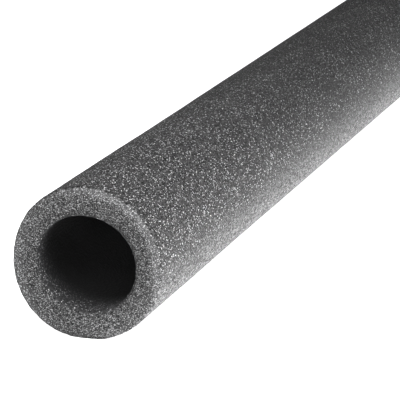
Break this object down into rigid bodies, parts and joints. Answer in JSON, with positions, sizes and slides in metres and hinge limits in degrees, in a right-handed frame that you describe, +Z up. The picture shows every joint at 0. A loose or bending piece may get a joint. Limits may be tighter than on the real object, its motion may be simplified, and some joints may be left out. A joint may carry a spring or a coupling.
{
  "type": "pipe insulation lagging",
  "caption": "Straight round tube of dark grey closed-cell foam with an open bore, slipped over a pipe to lag it.",
  "frame": {"origin": "under the middle of the tube, on the level floor that it lies on", "axes": "+X along the tube and its bore, +Z up; the end at -X is the one that the picture shows"},
  "size_m": [1, 0.054, 0.054],
  "materials": {
    "foam": "matte"
  },
  "bodies": {
    "root": {"foam_tube": "foam"}
  },
  "joints": []
}
